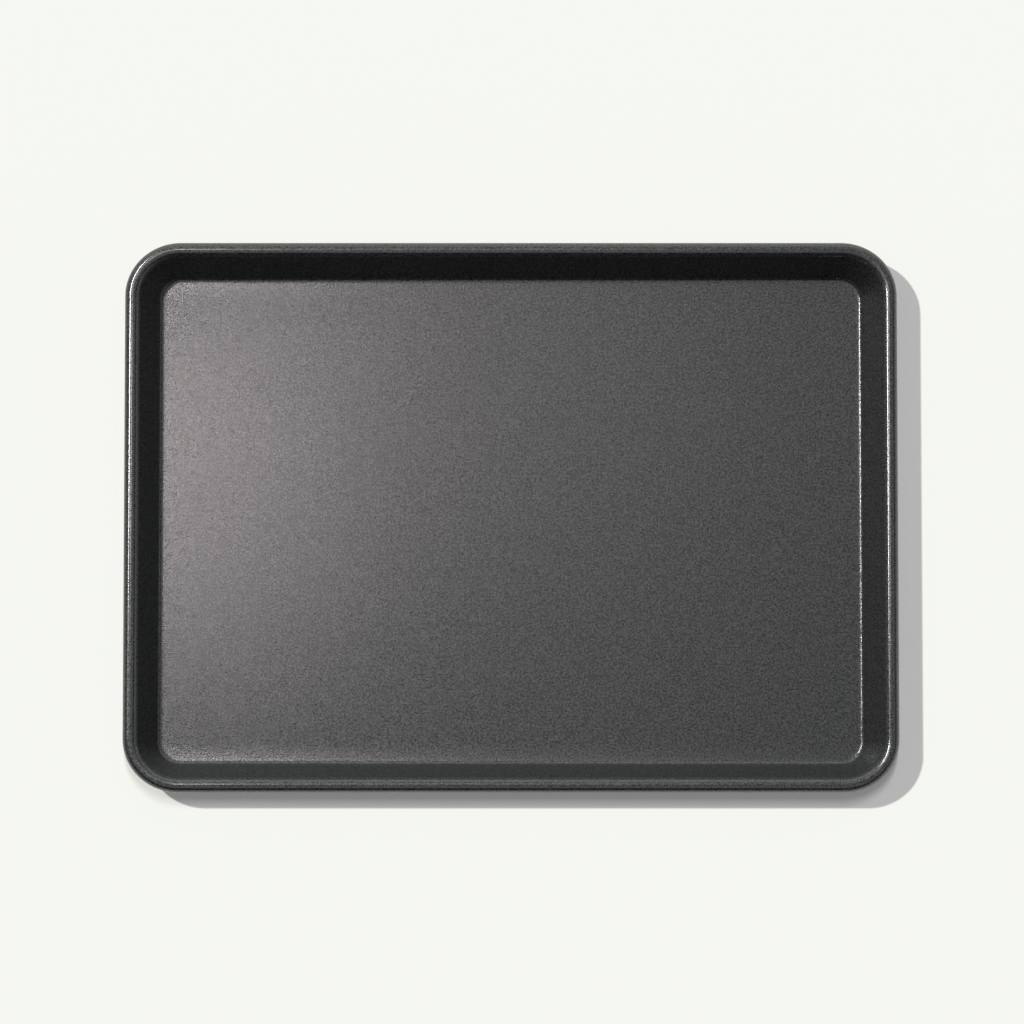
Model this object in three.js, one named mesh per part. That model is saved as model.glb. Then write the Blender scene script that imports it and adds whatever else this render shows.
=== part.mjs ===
// Half-size sheet pan: one sheet of coated steel, pressed into a shallow tray with a flat floor and sloping
// walls, whose edge is rolled outwards and down around a stiffening wire.
// Millimetres, +Z up, +X along the length, origin at the middle of the underside.

import * as THREE from "three";

// Overall size, over the rolled rim
const PAN_LENGTH = 457;
const PAN_WIDTH = 326.7;
const PAN_HEIGHT = 25.4;

// Pressed sheet
const SHEET_THICKNESS = 0.8;
const END_SLOPE_DEGREES = 28.5; // from upright, of the walls at the two ends
const SIDE_SLOPE_DEGREES = 25.5; // from upright, of the walls along the two long sides
const FLOOR_CORNER_RADIUS = 12.5; // in plan, on the line where the faces of floor and wall would meet
const SIDE_FILLET = 3.1; // inside the bend from floor to wall, along the sides
const CORNER_FILLET = 4.2; // inside the same bend, at the middle of a corner

// Rim wire, and the roll that grips it
const WIRE_DIAMETER = 6.35;
const WIRE_CLEARANCE = 0.3; // between wire and roll, all round
const WIRE_END_GAP = 1; // between the wire's two ends, at the middle of the front side
const ROLL_LIP_GAP = 0.6; // between the lip of the roll and the wall
const SHOULDER_SPREAD = 4; // added to the roll's radius where the wall curves over into it
const SHOULDER_END_DEGREES = 38; // from upright, where that wider curve tightens into the roll

// Facets
const CORNER_STEPS = 8;
const FILLET_STEPS = 4;
const SHOULDER_STEPS = 3;
const ROLL_STEPS = 23;
const WIRE_SIDES = 12;

const QUARTER_TURN = Math.PI / 2;
const endSlope = THREE.MathUtils.degToRad(END_SLOPE_DEGREES);
const sideSlope = THREE.MathUtils.degToRad(SIDE_SLOPE_DEGREES);
const shoulderEnd = THREE.MathUtils.degToRad(SHOULDER_END_DEGREES);

// Section of the roll and of the shoulder before it. In every section, x is the distance out from a corner's
// centre and y is the height.
const rollInside = WIRE_DIAMETER / 2 + WIRE_CLEARANCE;
const rollOutside = rollInside + SHEET_THICKNESS;
const rollHeight = PAN_HEIGHT - rollOutside;
const rollStart = QUARTER_TURN + shoulderEnd;
const shoulderOutside = rollOutside + SHOULDER_SPREAD;
const shoulderInside = rollInside + SHOULDER_SPREAD;
const shoulderHeight = rollHeight - SHOULDER_SPREAD * Math.cos(shoulderEnd);
const shoulderRise = shoulderHeight - SHEET_THICKNESS;

// Where the shoulder and the roll lie above a wall of this slope
function rimProfile(wallSlope) {
  const shoulderReach = Math.tan(wallSlope) * shoulderRise + shoulderOutside / Math.cos(wallSlope);
  const shoulderCentre = new THREE.Vector2(FLOOR_CORNER_RADIUS + shoulderReach, shoulderHeight);
  const rollCentre = new THREE.Vector2(shoulderCentre.x - SHOULDER_SPREAD * Math.sin(shoulderEnd), rollHeight);
  const wallTop = Math.PI - wallSlope;
  const wallDistance = rollInside + SHOULDER_SPREAD * (1 - Math.cos(wallTop - rollStart)); // from rollCentre
  const rollEnd = Math.acos((wallDistance - ROLL_LIP_GAP) / rollOutside) - Math.PI - wallSlope;
  return { wallSlope, wallTop, shoulderCentre, rollCentre, rollEnd };
}

// Plan of the rim
const cornerX = PAN_LENGTH / 2 - rimProfile(endSlope).rollCentre.x - rollOutside;
const cornerY = PAN_WIDTH / 2 - rimProfile(sideSlope).rollCentre.x - rollOutside;
const corners = [[cornerX, -cornerY], [cornerX, cornerY], [-cornerX, cornerY], [-cornerX, -cornerY]];
const front = -QUARTER_TURN;

// A place along the rim: the centre that its section is measured from, the direction out, how far the corner
// there has turned, from 0 to 1, and the rim's profile, whose slope blends around the corner
function station(x, y, angle, turned) {
  const outX = Math.cos(angle);
  const outY = Math.sin(angle);
  const profile = rimProfile(THREE.MathUtils.lerp(endSlope, sideSlope, outY ** 2));
  return { x, y, outX, outY, turned, profile };
}

// All the places along the rim, counterclockwise from the front right corner
function rimStations() {
  return corners.flatMap(([x, y], corner) =>
    Array.from({ length: CORNER_STEPS + 1 }, (_, step) => {
      const turned = step / CORNER_STEPS;
      return station(x, y, front + (corner + turned) * QUARTER_TURN, turned);
    }),
  );
}

// A section's points, set upright at a station
function ring(section, { x, y, outX, outY }) {
  return section.map((point) => new THREE.Vector3(x + outX * point.x, y + outY * point.x, point.y));
}

function arc(centre, radius, start, end, steps) {
  const clockwise = end < start;
  return new THREE.EllipseCurve(centre.x, centre.y, radius, radius, start, end, clockwise).getPoints(steps);
}

// The sheet, from the floor's upper face up the wall, over the shoulder, round the roll to its lip, and back
function sheetSection({ turned, profile }) {
  const { wallSlope, wallTop, shoulderCentre, rollCentre, rollEnd } = profile;
  const fillet = filletAt(turned);
  const floorEdge = FLOOR_CORNER_RADIUS - fillet * Math.tan((QUARTER_TURN - wallSlope) / 2);
  const bend = new THREE.Vector2(floorEdge, SHEET_THICKNESS + fillet);
  return [
    ...arc(bend, fillet, -QUARTER_TURN, -wallSlope, FILLET_STEPS),
    ...arc(shoulderCentre, shoulderOutside, wallTop, rollStart, SHOULDER_STEPS),
    ...arc(rollCentre, rollOutside, rollStart, rollEnd, ROLL_STEPS).slice(1),
    ...arc(rollCentre, rollInside, rollEnd, rollStart, ROLL_STEPS),
    ...arc(shoulderCentre, shoulderInside, rollStart, wallTop, SHOULDER_STEPS).slice(1),
    ...arc(bend, fillet + SHEET_THICKNESS, -wallSlope, -QUARTER_TURN, FILLET_STEPS),
  ];
}

function wireSection({ profile }) {
  return arc(profile.rollCentre, WIRE_DIAMETER / 2, 2 * Math.PI, 0, WIRE_SIDES).slice(1);
}

// The bend from floor to wall is tight along the sides and opens out around each corner
function filletAt(turned) {
  const share = Math.sin(turned * Math.PI) ** 2;
  return THREE.MathUtils.lerp(SIDE_FILLET, CORNER_FILLET, share);
}

// Triangles between each ring of points and the next, with the points numbered ring by ring
function strips(rings, ringsClose, sectionCloses) {
  const count = rings[0].length;
  const lastRing = ringsClose ? rings.length : rings.length - 1;
  const lastPoint = sectionCloses ? count : count - 1;
  const triangles = [];
  for (let r = 0; r < lastRing; r++) {
    const here = r * count;
    const next = ((r + 1) % rings.length) * count;
    for (let p = 0; p < lastPoint; p++) {
      const q = (p + 1) % count;
      triangles.push(here + p, here + q, next + q);
      triangles.push(here + p, next + q, next + p);
    }
  }
  return triangles;
}

// Triangles from a middle point out to each side of an outline
function fan(middle, outline) {
  return outline.flatMap((corner, i) => [middle, corner, outline[(i + 1) % outline.length]]);
}

function namedMesh(name, points, triangles, material) {
  const geometry = new THREE.BufferGeometry().setFromPoints(points);
  geometry.setIndex(triangles);
  geometry.computeVertexNormals();
  const mesh = new THREE.Mesh(geometry, material);
  mesh.name = name;
  return mesh;
}

function makePanBody(stations) {
  const rings = stations.map((place) => ring(sheetSection(place), place));
  const count = rings[0].length;
  const points = rings.flat();
  const floorTop = points.push(new THREE.Vector3(0, 0, SHEET_THICKNESS)) - 1;
  const floorUnder = points.push(new THREE.Vector3(0, 0, 0)) - 1;
  const topOutline = rings.map((_, r) => r * count);
  const underOutline = topOutline.map((first) => first + count - 1).reverse();
  const triangles = [
    ...strips(rings, true, false),
    ...fan(floorTop, topOutline),
    ...fan(floorUnder, underOutline),
  ];
  const coating = new THREE.MeshStandardMaterial({ color: 0x4a4949, roughness: 0.45, metalness: 0.4 });
  return namedMesh("pan_body", points, triangles, coating);
}

function makeRimWire(stations) {
  const startEnd = station(WIRE_END_GAP / 2, -cornerY, front, 0);
  const finishEnd = station(-WIRE_END_GAP / 2, -cornerY, front, 0);
  const places = [startEnd, ...stations, finishEnd];
  const rings = places.map((place) => ring(wireSection(place), place));
  const points = rings.flat();
  const lastRing = points.length - WIRE_SIDES;
  const startMiddle = points.push(...ring([startEnd.profile.rollCentre], startEnd)) - 1;
  const finishMiddle = points.push(...ring([finishEnd.profile.rollCentre], finishEnd)) - 1;
  const startOutline = rings[0].map((_, p) => p).reverse();
  const finishOutline = rings[0].map((_, p) => lastRing + p);
  const triangles = [
    ...strips(rings, false, true),
    ...fan(startMiddle, startOutline),
    ...fan(finishMiddle, finishOutline),
  ];
  const steel = new THREE.MeshStandardMaterial({ color: 0xb0b3b5, roughness: 0.4, metalness: 0.9 });
  return namedMesh("rim_wire", points, triangles, steel);
}

const stations = rimStations();
const sheetPan = new THREE.Group();
sheetPan.add(makePanBody(stations), makeRimWire(stations));

export default sheetPan;
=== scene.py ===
# A half-size sheet pan of nonstick-coated steel, seen from above on a pale table.
# Metres, +Z up, +X along the pan's length, origin at the middle of its underside.

import math

import bmesh
import bpy
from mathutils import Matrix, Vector


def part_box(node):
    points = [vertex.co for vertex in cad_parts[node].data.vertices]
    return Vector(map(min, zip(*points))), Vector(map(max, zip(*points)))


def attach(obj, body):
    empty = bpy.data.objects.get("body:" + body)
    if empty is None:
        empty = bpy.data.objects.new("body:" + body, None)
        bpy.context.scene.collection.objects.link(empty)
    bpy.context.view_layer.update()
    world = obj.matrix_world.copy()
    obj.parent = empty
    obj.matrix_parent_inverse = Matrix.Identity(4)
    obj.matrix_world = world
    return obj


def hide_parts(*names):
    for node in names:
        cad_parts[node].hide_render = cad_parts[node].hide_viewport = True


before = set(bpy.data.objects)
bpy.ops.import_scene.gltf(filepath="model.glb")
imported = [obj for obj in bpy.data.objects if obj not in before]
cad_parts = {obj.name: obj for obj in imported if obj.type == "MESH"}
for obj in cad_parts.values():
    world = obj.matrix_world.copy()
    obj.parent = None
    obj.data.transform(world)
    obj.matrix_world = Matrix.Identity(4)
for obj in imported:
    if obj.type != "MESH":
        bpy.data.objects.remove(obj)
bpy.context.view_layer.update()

# The pan's outline, from the frame
PAN_LOW, PAN_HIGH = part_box("pan_body")
PAN_LENGTH = PAN_HIGH.x - PAN_LOW.x
PAN_WIDTH = PAN_HIGH.y - PAN_LOW.y
PAN_HEIGHT = PAN_HIGH.z

# Pressed sheet
SHEET_THICKNESS = 0.0008
END_SLOPE = math.radians(28.5)
SIDE_SLOPE = math.radians(25.5)
FLOOR_CORNER_RADIUS = 0.0125
SIDE_FILLET = 0.0031
CORNER_FILLET = 0.0042

# Along the long sides, the floor starts to lift a little before it bends up into the wall
FLOOR_EASE_WIDTH = 0.01
FLOOR_EASE_ANGLE = math.radians(3.2)

# Rim wire, and the roll that grips it
WIRE_DIAMETER = 0.00635
WIRE_CLEARANCE = 0.0003
WIRE_END_GAP = 0.001
WIRE_END_BEVEL = 0.0004
ROLL_LIP_GAP = 0.0006

# The wall curves over a wider shoulder, which tightens into the roll at this angle from upright
SHOULDER_SPREAD = 0.004
SHOULDER_END = math.radians(38)

# Mesh fineness
CORNER_STEPS = 24
SIDE_STEP = 0.008
EASE_STEPS = 6
FILLET_STEPS = 10
WALL_STEPS = 5
SHOULDER_STEPS = 10
ROLL_STEPS = 48
WIRE_SIDES = 32
MERGE_DISTANCE = 1e-7

QUARTER_TURN = math.pi / 2
FRONT = -QUARTER_TURN

# Section of the roll and shoulder: x is the distance out from a corner's centre, y the height
ROLL_INSIDE = WIRE_DIAMETER / 2 + WIRE_CLEARANCE
ROLL_OUTSIDE = ROLL_INSIDE + SHEET_THICKNESS
ROLL_HEIGHT = PAN_HEIGHT - ROLL_OUTSIDE
ROLL_START = QUARTER_TURN + SHOULDER_END
SHOULDER_OUTSIDE = ROLL_OUTSIDE + SHOULDER_SPREAD
SHOULDER_INSIDE = ROLL_INSIDE + SHOULDER_SPREAD
SHOULDER_HEIGHT = ROLL_HEIGHT - SHOULDER_SPREAD * math.cos(SHOULDER_END)
SHOULDER_RISE = SHOULDER_HEIGHT - SHEET_THICKNESS


class RimProfile:
    """Where the shoulder and the roll lie above a wall of this slope."""

    def __init__(self, slope):
        self.slope = slope
        self.wall_top = math.pi - slope
        reach = FLOOR_CORNER_RADIUS + math.tan(slope) * SHOULDER_RISE + SHOULDER_OUTSIDE / math.cos(slope)
        self.shoulder_centre = Vector((reach, SHOULDER_HEIGHT))
        self.roll_centre = Vector((reach - SHOULDER_SPREAD * math.sin(SHOULDER_END), ROLL_HEIGHT))
        wall_distance = ROLL_INSIDE + SHOULDER_SPREAD * (1 - math.cos(self.wall_top - ROLL_START))
        self.roll_end = math.acos((wall_distance - ROLL_LIP_GAP) / ROLL_OUTSIDE) - math.pi - slope


CORNER_X = PAN_LENGTH / 2 - RimProfile(END_SLOPE).roll_centre.x - ROLL_OUTSIDE
CORNER_Y = PAN_WIDTH / 2 - RimProfile(SIDE_SLOPE).roll_centre.x - ROLL_OUTSIDE


def mix(a, b, share):
    return a + (b - a) * share


def spread(start, end, steps):
    return [mix(start, end, step / steps) for step in range(steps + 1)]


def arc(centre, radius, start, end, steps):
    return [centre + radius * Vector((math.cos(a), math.sin(a))) for a in spread(start, end, steps)]


# Places along the rim

class Station:
    """A place along the rim, whose section stands on a base point and faces out from it."""

    def __init__(self, x, y, angle, turned=0.0):
        self.base = Vector((x, y))
        self.out = Vector((math.cos(angle), math.sin(angle)))
        self.turned = turned
        self.profile = RimProfile(mix(END_SLOPE, SIDE_SLOPE, self.out.y ** 2))


def side_steps(length):
    return round(length / SIDE_STEP)


def rim_stations():
    """Round the rim, counterclockwise from the front right corner, with short steps along the sides."""
    corners = [(CORNER_X, -CORNER_Y), (CORNER_X, CORNER_Y), (-CORNER_X, CORNER_Y), (-CORNER_X, -CORNER_Y)]
    stations = []
    for number, (x, y) in enumerate(corners):
        for turned in spread(0, 1, CORNER_STEPS):
            stations.append(Station(x, y, FRONT + (number + turned) * QUARTER_TURN, turned))
        next_x, next_y = corners[(number + 1) % len(corners)]
        steps = side_steps(math.hypot(next_x - x, next_y - y))
        for share in spread(0, 1, steps)[1:-1]:
            side_angle = FRONT + (number + 1) * QUARTER_TURN
            stations.append(Station(mix(x, next_x, share), mix(y, next_y, share), side_angle))
    return stations


def ring(section, place):
    """A section's points, set upright at a place."""
    points = []
    for reach, height in section:
        flat = place.base + place.out * reach
        points.append(Vector((flat.x, flat.y, height)))
    return points


# Meshes

def add_strips(bm, rings, rings_close, section_closes):
    """Quads between each ring of vertices and the next."""
    ring_count = len(rings)
    count = len(rings[0])
    for r in range(ring_count if rings_close else ring_count - 1):
        here = rings[r]
        after = rings[(r + 1) % ring_count]
        for p in range(count if section_closes else count - 1):
            q = (p + 1) % count
            bm.faces.new((here[p], here[q], after[q], after[p]))


def new_piece(name, bm, material):
    bm.normal_update()
    mesh = bpy.data.meshes.new(name)
    bm.to_mesh(mesh)
    bm.free()
    for face in mesh.polygons:
        face.use_smooth = True
    piece = bpy.data.objects.new(name, mesh)
    bpy.context.scene.collection.objects.link(piece)
    mesh.materials.append(material)
    return piece


def fillet_at(turned):
    return mix(SIDE_FILLET, CORNER_FILLET, math.sin(turned * math.pi) ** 2)


def floor_ease(bend_start, height):
    """The last stretch of the floor, which lifts from this height to where the bend starts."""
    rise = bend_start.y - height
    shares = spread(0, 1, EASE_STEPS)[:-1]
    return [Vector((bend_start.x - FLOOR_EASE_WIDTH * (1 - s), height + rise * s ** 2)) for s in shares]


def sheet_section(place):
    """The sheet from the floor's middle up the wall, over the shoulder, round the roll and back."""
    rim = place.profile
    fillet = fillet_at(place.turned)
    edge = FLOOR_CORNER_RADIUS - fillet * math.tan((QUARTER_TURN - rim.slope) / 2)
    ease_angle = FLOOR_EASE_ANGLE * place.out.y ** 2
    ease_rise = FLOOR_EASE_WIDTH * math.tan(ease_angle) / 2
    lift = ease_rise - fillet * (1 - math.cos(ease_angle))
    bend = Vector((edge + lift * math.tan(rim.slope), SHEET_THICKNESS + fillet + lift))
    bend_angle = ease_angle - QUARTER_TURN
    upper_bend = arc(bend, fillet, bend_angle, -rim.slope, FILLET_STEPS)
    under_bend = arc(bend, fillet + SHEET_THICKNESS, -rim.slope, bend_angle, FILLET_STEPS)
    shoulder = arc(rim.shoulder_centre, SHOULDER_OUTSIDE, rim.wall_top, ROLL_START, SHOULDER_STEPS)
    shoulder_under = arc(rim.shoulder_centre, SHOULDER_INSIDE, ROLL_START, rim.wall_top, SHOULDER_STEPS)
    wall_shares = spread(0, 1, WALL_STEPS)[1:-1]
    upper = [Vector((0, SHEET_THICKNESS))] + floor_ease(upper_bend[0], SHEET_THICKNESS) + upper_bend
    upper += [upper_bend[-1].lerp(shoulder[0], share) for share in wall_shares] + shoulder
    upper += arc(rim.roll_centre, ROLL_OUTSIDE, ROLL_START, rim.roll_end, ROLL_STEPS)[1:]
    under = arc(rim.roll_centre, ROLL_INSIDE, rim.roll_end, ROLL_START, ROLL_STEPS) + shoulder_under[1:]
    under += [shoulder_under[-1].lerp(under_bend[0], share) for share in wall_shares]
    under += under_bend + floor_ease(under_bend[-1], 0)[::-1] + [Vector((0, 0))]
    return upper + under


def add_floor_grid(bm, height, faces_up):
    """The middle of the floor, a rectangle between the corners' centres."""
    columns = spread(-CORNER_X, CORNER_X, side_steps(2 * CORNER_X))
    rows = spread(-CORNER_Y, CORNER_Y, side_steps(2 * CORNER_Y))
    grid = [[bm.verts.new((x, y, height)) for x in columns] for y in rows]
    for low, high in zip(grid, grid[1:]):
        for i in range(len(columns) - 1):
            corners = (low[i], low[i + 1], high[i + 1], high[i])
            bm.faces.new(corners if faces_up else tuple(reversed(corners)))


def make_pan_body(material):
    bm = bmesh.new()
    rings = []
    for place in rim_stations():
        rings.append([bm.verts.new(point) for point in ring(sheet_section(place), place)])
    add_strips(bm, rings, rings_close=True, section_closes=False)
    add_floor_grid(bm, SHEET_THICKNESS, faces_up=True)
    add_floor_grid(bm, 0, faces_up=False)
    bmesh.ops.remove_doubles(bm, verts=bm.verts[:], dist=MERGE_DISTANCE)
    bmesh.ops.dissolve_degenerate(bm, edges=bm.edges[:], dist=MERGE_DISTANCE)
    return new_piece("coated_pan_body", bm, material)


def wire_ring(place, radius):
    return ring(arc(place.profile.roll_centre, radius, 2 * math.pi, 0, WIRE_SIDES)[1:], place)


def make_rim_wire(material):
    """One wire bent round the rim, with bevelled ends that nearly meet at the middle of the front side."""
    bm = bmesh.new()
    radius = WIRE_DIAMETER / 2
    end_radius = radius - WIRE_END_BEVEL
    half_gap = WIRE_END_GAP / 2
    bevel_x = half_gap + WIRE_END_BEVEL
    places = rim_stations()
    # The last places are those along the front side, from left to right
    front_count = side_steps(2 * CORNER_X) - 1
    around = places[:-front_count]
    front_side = places[-front_count:]
    right_of_gap = [place for place in front_side if place.base.x > bevel_x]
    left_of_gap = [place for place in front_side if place.base.x < -bevel_x]
    run = right_of_gap + around + left_of_gap
    rings = [wire_ring(Station(half_gap, -CORNER_Y, FRONT), end_radius)]
    rings.append(wire_ring(Station(bevel_x, -CORNER_Y, FRONT), radius))
    rings += [wire_ring(place, radius) for place in run]
    rings.append(wire_ring(Station(-bevel_x, -CORNER_Y, FRONT), radius))
    rings.append(wire_ring(Station(-half_gap, -CORNER_Y, FRONT), end_radius))
    vertices = [[bm.verts.new(point) for point in points] for points in rings]
    add_strips(bm, vertices, rings_close=False, section_closes=True)
    bm.faces.new(tuple(reversed(vertices[0])))
    bm.faces.new(tuple(vertices[-1]))
    return new_piece("galvanised_rim_wire", bm, material)


# Materials

def new_material(name):
    material = bpy.data.materials.new(name)
    material.use_nodes = True
    tree = material.node_tree
    return material, tree, tree.nodes["Principled BSDF"]


def add_noise(tree, coords, scale, detail):
    noise = tree.nodes.new("ShaderNodeTexNoise")
    noise.inputs["Scale"].default_value = scale
    noise.inputs["Detail"].default_value = detail
    tree.links.new(coords, noise.inputs["Vector"])
    return noise.outputs["Fac"]


def add_range(tree, value, old, new):
    """Maps one range to another. Values past its ends stay at the ends."""
    remap = tree.nodes.new("ShaderNodeMapRange")
    for socket, number in zip(("From Min", "From Max", "To Min", "To Max"), (*old, *new)):
        remap.inputs[socket].default_value = number
    tree.links.new(value, remap.inputs["Value"])
    return remap.outputs["Result"]


def add_colour_mix(tree, share, first, second):
    blend = tree.nodes.new("ShaderNodeMix")
    blend.data_type = "RGBA"
    blend.inputs["A"].default_value = (*first, 1)
    blend.inputs["B"].default_value = (*second, 1)
    tree.links.new(share, blend.inputs["Factor"])
    return blend.outputs["Result"]


def add_bump(tree, height, distance, below=None, strength=None):
    bump = tree.nodes.new("ShaderNodeBump")
    bump.inputs["Distance"].default_value = distance
    tree.links.new(height, bump.inputs["Height"])
    if below is not None:
        tree.links.new(below, bump.inputs["Normal"])
    if strength is not None:
        tree.links.new(strength, bump.inputs["Strength"])
    return bump.outputs["Normal"]


# Nonstick coating: the scale of each noise pattern, per metre, and the depth of each bump
GRAIN_SCALE = 1300
FLAKE_SCALE = 2600
SPECKLE_SCALE = 1000
FINE_DETAIL = 1
CLOUD_SCALE = 14
CLOUD_DETAIL = 3
GRAIN_DEPTH = 0.00006
FLAKE_DEPTH = 0.00003
COAT_GRAIN_DEPTH = 0.00009

# The heights between which the grain fades, and its strength on the floor and on the walls and the rim
PEBBLED_HEIGHTS = (0.0012, 0.003)
PEBBLED_STRENGTHS = (1, 0.2)

# The noise values that the speckle and the clouds span, and what they set
SPECKLE_SPAN = (0.34, 0.66)
SPECKLE_DARK = (0.012, 0.012, 0.012)
SPECKLE_PALE = (0.1, 0.1, 0.1)
CLOUD_SPAN = (0.3, 0.7)
COATING_ROUGHNESS = (0.5, 0.56)
COATING_METALLIC = 0.85
COAT_WEIGHT = 1.0
COAT_ROUGHNESS = 0.13
COAT_IOR = 1.75


def make_coating():
    """Dark grey nonstick coating: speckled metallic flakes under a satin binder. The floor has a fine pebbled
    grain, which is pressed nearly smooth in the walls and the rim."""
    material, tree, shader = new_material("nonstick_coating")
    coords = tree.nodes.new("ShaderNodeTexCoord").outputs["Object"]
    axes = tree.nodes.new("ShaderNodeSeparateXYZ")
    tree.links.new(coords, axes.inputs["Vector"])
    pebbled = add_range(tree, axes.outputs["Z"], PEBBLED_HEIGHTS, PEBBLED_STRENGTHS)
    grain = add_noise(tree, coords, GRAIN_SCALE, FINE_DETAIL)
    flakes = add_noise(tree, coords, FLAKE_SCALE, FINE_DETAIL)
    clouds = add_noise(tree, coords, CLOUD_SCALE, CLOUD_DETAIL)
    speckle = add_range(tree, add_noise(tree, coords, SPECKLE_SCALE, FINE_DETAIL), SPECKLE_SPAN, (0, 1))
    colour = add_colour_mix(tree, speckle, SPECKLE_DARK, SPECKLE_PALE)
    roughness = add_range(tree, clouds, CLOUD_SPAN, COATING_ROUGHNESS)
    grain_normal = add_bump(tree, grain, GRAIN_DEPTH, strength=pebbled)
    flake_normal = add_bump(tree, flakes, FLAKE_DEPTH, below=grain_normal)
    coat_normal = add_bump(tree, grain, COAT_GRAIN_DEPTH, strength=pebbled)
    tree.links.new(colour, shader.inputs["Base Color"])
    tree.links.new(roughness, shader.inputs["Roughness"])
    tree.links.new(flake_normal, shader.inputs["Normal"])
    tree.links.new(coat_normal, shader.inputs["Coat Normal"])
    shader.inputs["Metallic"].default_value = COATING_METALLIC
    shader.inputs["Coat Weight"].default_value = COAT_WEIGHT
    shader.inputs["Coat Roughness"].default_value = COAT_ROUGHNESS
    shader.inputs["Coat IOR"].default_value = COAT_IOR
    return material


# Zinc on the wire: its patches and its grain
PATCH_SCALE = 260
PATCH_DETAIL = 4
PATCH_SPAN = (0.3, 0.7)
ZINC_DARK = (0.36, 0.38, 0.39)
ZINC_PALE = (0.52, 0.54, 0.55)
ZINC_ROUGHNESS = (0.34, 0.52)
ZINC_METALLIC = 0.95
ZINC_GRAIN_SCALE = 3000
ZINC_GRAIN_DETAIL = 2
ZINC_GRAIN_DEPTH = 0.000004


def make_wire_steel():
    """Galvanised steel wire: zinc with a fine grain and paler, rougher patches."""
    material, tree, shader = new_material("galvanised_steel")
    coords = tree.nodes.new("ShaderNodeTexCoord").outputs["Object"]
    patches = add_noise(tree, coords, PATCH_SCALE, PATCH_DETAIL)
    grain = add_noise(tree, coords, ZINC_GRAIN_SCALE, ZINC_GRAIN_DETAIL)
    colour = add_colour_mix(tree, patches, ZINC_DARK, ZINC_PALE)
    roughness = add_range(tree, patches, PATCH_SPAN, ZINC_ROUGHNESS)
    tree.links.new(colour, shader.inputs["Base Color"])
    tree.links.new(roughness, shader.inputs["Roughness"])
    tree.links.new(add_bump(tree, grain, ZINC_GRAIN_DEPTH), shader.inputs["Normal"])
    shader.inputs["Metallic"].default_value = ZINC_METALLIC
    return material


# Table, camera and lights

TABLE_COLOUR = (0.92, 0.92, 0.92)
TABLE_HALF_SIZE = 60.0
TABLE_GAP = 0.0001
SELF_LIT_SHARE = 0.19

CAMERA_AIM = Vector((0.0006, 0.0053, 0))
CAMERA_DISTANCE = 4.5
CAMERA_TILT = math.radians(6.8)
CAMERA_LENS = 266.75

# Lights that reach only the table: a sharp sun from the back left, and a long strip high above and behind
TABLE_SUN_FROM = Vector((-0.67, 0.345, 1))
TABLE_SUN_ANGLE = math.radians(2)
TABLE_SUN_STRENGTH = 2.445
TABLE_SUN_COLOUR = (0.983, 1, 0.909)
TABLE_STRIP_PLACE = Vector((0, 4.2, 20))
TABLE_STRIP_SIZE = (0.8, 6)
TABLE_STRIP_POWER = 1270

# Lamps that reach only the pan: a long strip from the back left, an oval one above and beyond the back left
# corner, and a weaker round one above and behind the back side
STRIP_COLOUR = (0.97, 1, 0.98)
STRIP_PLACE = Vector((-1.06, 0.58, 1.545))
STRIP_SIZE = (0.9, 0.12)
STRIP_POWER = 24
DISC_COLOUR = (1, 0.89, 0.91)
LEFT_DISC_PLACE = Vector((-0.31, 0.228, 1.4))
LEFT_DISC_SIZE = (0.15, 0.28)
LEFT_DISC_POWER = 1.06
MIDDLE_DISC_PLACE = Vector((-0.04, 0.31, 1.4))
MIDDLE_DISC_SIZE = (0.42, 0.42)
MIDDLE_DISC_POWER = 0.3


def make_table():
    """A pale plain table. Part of its paleness is its own light, which keeps the pan's shadow pale."""
    material = bpy.data.materials.new("pale_table")
    material.use_nodes = True
    tree = material.node_tree
    tree.nodes.clear()
    surface = tree.nodes.new("ShaderNodeBsdfDiffuse")
    surface.inputs["Color"].default_value = (*[c * (1 - SELF_LIT_SHARE) for c in TABLE_COLOUR], 1)
    glow = tree.nodes.new("ShaderNodeEmission")
    glow.inputs["Color"].default_value = (*TABLE_COLOUR, 1)
    path = tree.nodes.new("ShaderNodeLightPath")
    strength = tree.nodes.new("ShaderNodeMath")
    strength.operation = "MULTIPLY"
    strength.inputs[1].default_value = SELF_LIT_SHARE
    tree.links.new(path.outputs["Is Camera Ray"], strength.inputs[0])
    tree.links.new(strength.outputs["Value"], glow.inputs["Strength"])
    both = tree.nodes.new("ShaderNodeAddShader")
    tree.links.new(surface.outputs["BSDF"], both.inputs[0])
    tree.links.new(glow.outputs["Emission"], both.inputs[1])
    output = tree.nodes.new("ShaderNodeOutputMaterial")
    tree.links.new(both.outputs["Shader"], output.inputs["Surface"])
    bpy.ops.mesh.primitive_plane_add(size=2 * TABLE_HALF_SIZE, location=(0, 0, -TABLE_GAP))
    table = bpy.context.object
    table.name = "table_top"
    table.data.materials.append(material)
    return table


def make_camera():
    camera_data = bpy.data.cameras.new("camera")
    camera_data.lens = CAMERA_LENS
    camera = bpy.data.objects.new("camera", camera_data)
    back = Vector((0, -math.sin(CAMERA_TILT), math.cos(CAMERA_TILT)))
    camera.location = CAMERA_AIM + CAMERA_DISTANCE * back
    camera.rotation_euler = (CAMERA_TILT, 0, 0)
    bpy.context.scene.collection.objects.link(camera)
    bpy.context.scene.camera = camera


def light_only(light, name, objects):
    """Lets a light reach only these objects. Everything still casts its shadow."""
    receivers = bpy.data.collections.new(name)
    for obj in objects:
        receivers.objects.link(obj)
    light.light_linking.receiver_collection = receivers


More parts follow.
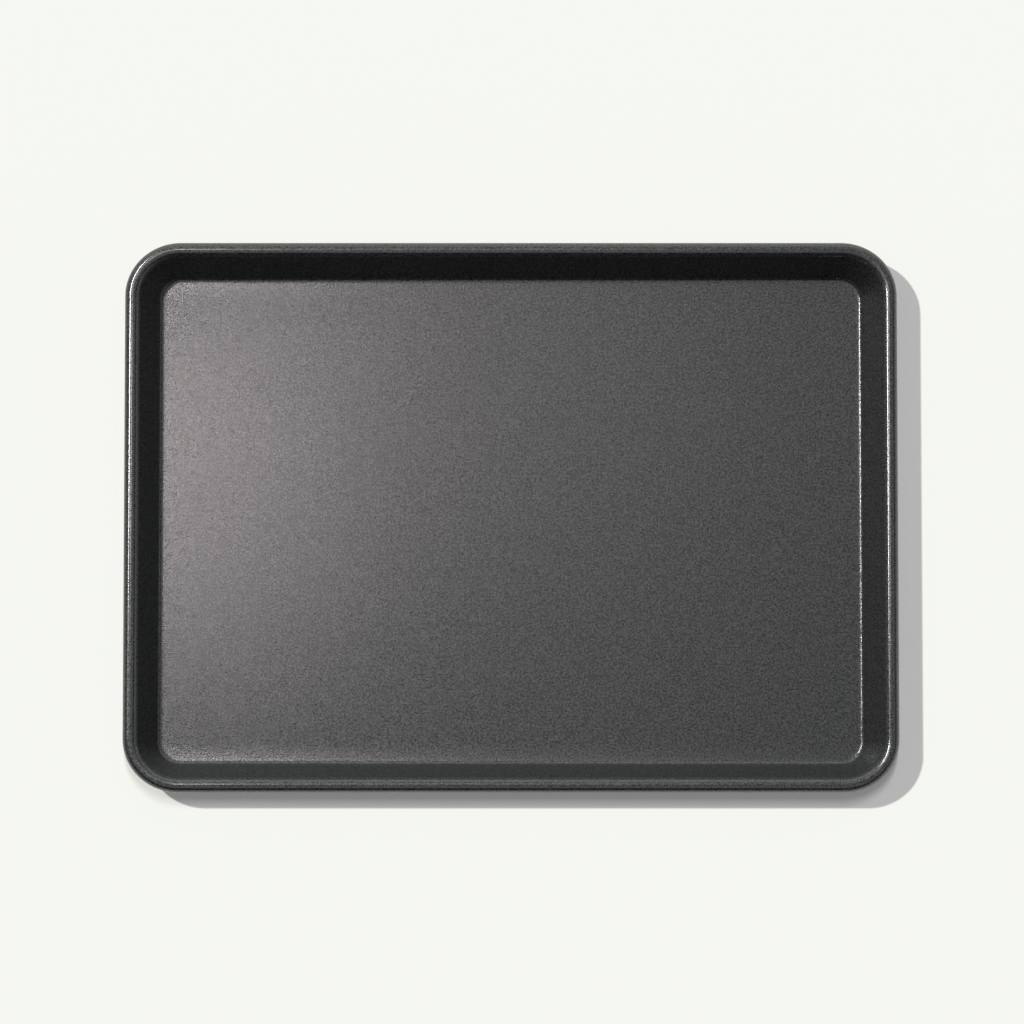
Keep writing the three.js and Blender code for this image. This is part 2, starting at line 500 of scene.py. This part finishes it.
def add_light(name, kind, place, receivers):
    data = bpy.data.lights.new(name, kind)
    light = bpy.data.objects.new(name, data)
    light.location = place
    light.rotation_euler = (-place).to_track_quat("-Z", "Y").to_euler()
    bpy.context.scene.collection.objects.link(light)
    light_only(light, f"lit_by_{name}", receivers)
    return light


def add_lamp(name, shape, place, size, power, receivers):
    lamp = add_light(name, "AREA", place, receivers)
    lamp.data.shape = shape
    lamp.data.size, lamp.data.size_y = size
    lamp.data.energy = power
    return lamp


def add_disc(name, place, size, power, receivers):
    """A round or oval lamp that faces straight down."""
    disc = add_lamp(name, "ELLIPSE", place, size, power, receivers)
    disc.rotation_euler = (0, 0, 0)
    disc.data.color = DISC_COLOUR


def make_lights(table, pan_pieces):
    sun = add_light("table_sun", "SUN", TABLE_SUN_FROM, [table]).data
    sun.angle = TABLE_SUN_ANGLE
    sun.energy = TABLE_SUN_STRENGTH
    sun.color = TABLE_SUN_COLOUR
    add_lamp("table_strip", "RECTANGLE", TABLE_STRIP_PLACE, TABLE_STRIP_SIZE, TABLE_STRIP_POWER, [table])
    strip = add_lamp("pan_strip", "RECTANGLE", STRIP_PLACE, STRIP_SIZE, STRIP_POWER, pan_pieces)
    strip.data.color = STRIP_COLOUR
    add_disc("left_disc", LEFT_DISC_PLACE, LEFT_DISC_SIZE, LEFT_DISC_POWER, pan_pieces)
    add_disc("middle_disc", MIDDLE_DISC_PLACE, MIDDLE_DISC_SIZE, MIDDLE_DISC_POWER, pan_pieces)


# The studio's walls: the axis and sign of the direction that each lies in, then its brightness near the
# horizon, at middle height and near the ceiling
STUDIO_WALLS = {
    "right": ("X", 1, 0.56, 0.0, 0.45),
    "left": ("X", -1, 0.18, 0.0, 0.15),
    "back": ("Y", 1, 1.05, 0.85, 0.42),
    "front": ("Y", -1, 0.02, 0.0, 0.5),
}

# Brightness of the ceiling, and of the ground below the horizon
CEILING = 0.287
GROUND = 0.4

# Where one brightness gives way to the next, as the height of a direction from the pan
GROUND_TO_LOW = (-0.1, 0.0)
LOW_TO_MIDDLE = (0.3, 0.4)
MIDDLE_TO_HIGH = (0.6, 0.72)
HIGH_TO_CEILING = (0.92, 0.985)

# Keeps the walls' shares from being divided by zero straight above and below the pan
LEAST_LEVEL = 0.01

# Colour of the studio's light, its strength on matt surfaces, and the brightness that the camera sees
STUDIO_COLOUR = (0.94, 1, 0.98)
SOFT_FILL = 0.1
BACKDROP = 0.93


def make_world():
    """A studio with glowing walls, which the pan mirrors. Matt surfaces get only a soft fill from it, and the
    camera sees a pale backdrop."""
    world = bpy.data.worlds.new("studio")
    bpy.context.scene.world = world
    world.use_nodes = True
    world.cycles.sampling_method = "NONE"
    tree = world.node_tree
    direction = tree.nodes.new("ShaderNodeTexCoord").outputs["Generated"]
    axes = tree.nodes.new("ShaderNodeSeparateXYZ")
    tree.links.new(direction, axes.inputs["Vector"])
    path = tree.nodes.new("ShaderNodeLightPath")

    def put(value, socket):
        if isinstance(value, (int, float)):
            socket.default_value = value
        else:
            tree.links.new(value, socket)

    def combine(operation, first, second):
        node = tree.nodes.new("ShaderNodeMath")
        node.operation = operation
        put(first, node.inputs[0])
        put(second, node.inputs[1])
        return node.outputs["Value"]

    def choose(share, first, second):
        node = tree.nodes.new("ShaderNodeMix")
        put(share, node.inputs["Factor"])
        put(first, node.inputs["A"])
        put(second, node.inputs["B"])
        return node.outputs["Result"]

    def rise(low, high):
        node = tree.nodes.new("ShaderNodeMapRange")
        node.interpolation_type = "SMOOTHSTEP"
        node.inputs["From Min"].default_value = low
        node.inputs["From Max"].default_value = high
        tree.links.new(axes.outputs["Z"], node.inputs["Value"])
        return node.outputs["Result"]

    level = combine("SUBTRACT", 1, combine("POWER", axes.outputs["Z"], 2))
    level = combine("MAXIMUM", level, LEAST_LEVEL)
    studio = 0
    for axis, sign, low, middle, high in STUDIO_WALLS.values():
        facing = combine("MAXIMUM", combine("MULTIPLY", axes.outputs[axis], sign), 0)
        share = combine("DIVIDE", combine("POWER", facing, 2), level)
        wall = choose(rise(*LOW_TO_MIDDLE), low, middle)
        wall = choose(rise(*MIDDLE_TO_HIGH), wall, high)
        studio = combine("ADD", studio, combine("MULTIPLY", share, wall))
    studio = choose(rise(*HIGH_TO_CEILING), studio, CEILING)
    studio = choose(rise(*GROUND_TO_LOW), GROUND, studio)
    mirrored = combine("MAXIMUM", path.outputs["Is Glossy Ray"], path.outputs["Is Transmission Ray"])
    strength = choose(mirrored, SOFT_FILL, studio)
    strength = choose(path.outputs["Is Camera Ray"], strength, BACKDROP)
    background = tree.nodes["Background"]
    background.inputs["Color"].default_value = (*STUDIO_COLOUR, 1)
    tree.links.new(strength, background.inputs["Strength"])


coating = make_coating()
wire_steel = make_wire_steel()
pan_body = make_pan_body(coating)
rim_wire = make_rim_wire(wire_steel)
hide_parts("pan_body")
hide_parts("rim_wire")
for piece in (pan_body, rim_wire):
    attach(piece, "root")

make_camera()
make_world()
make_lights(make_table(), [pan_body, rim_wire])
bpy.context.scene.view_settings.view_transform = "Standard"
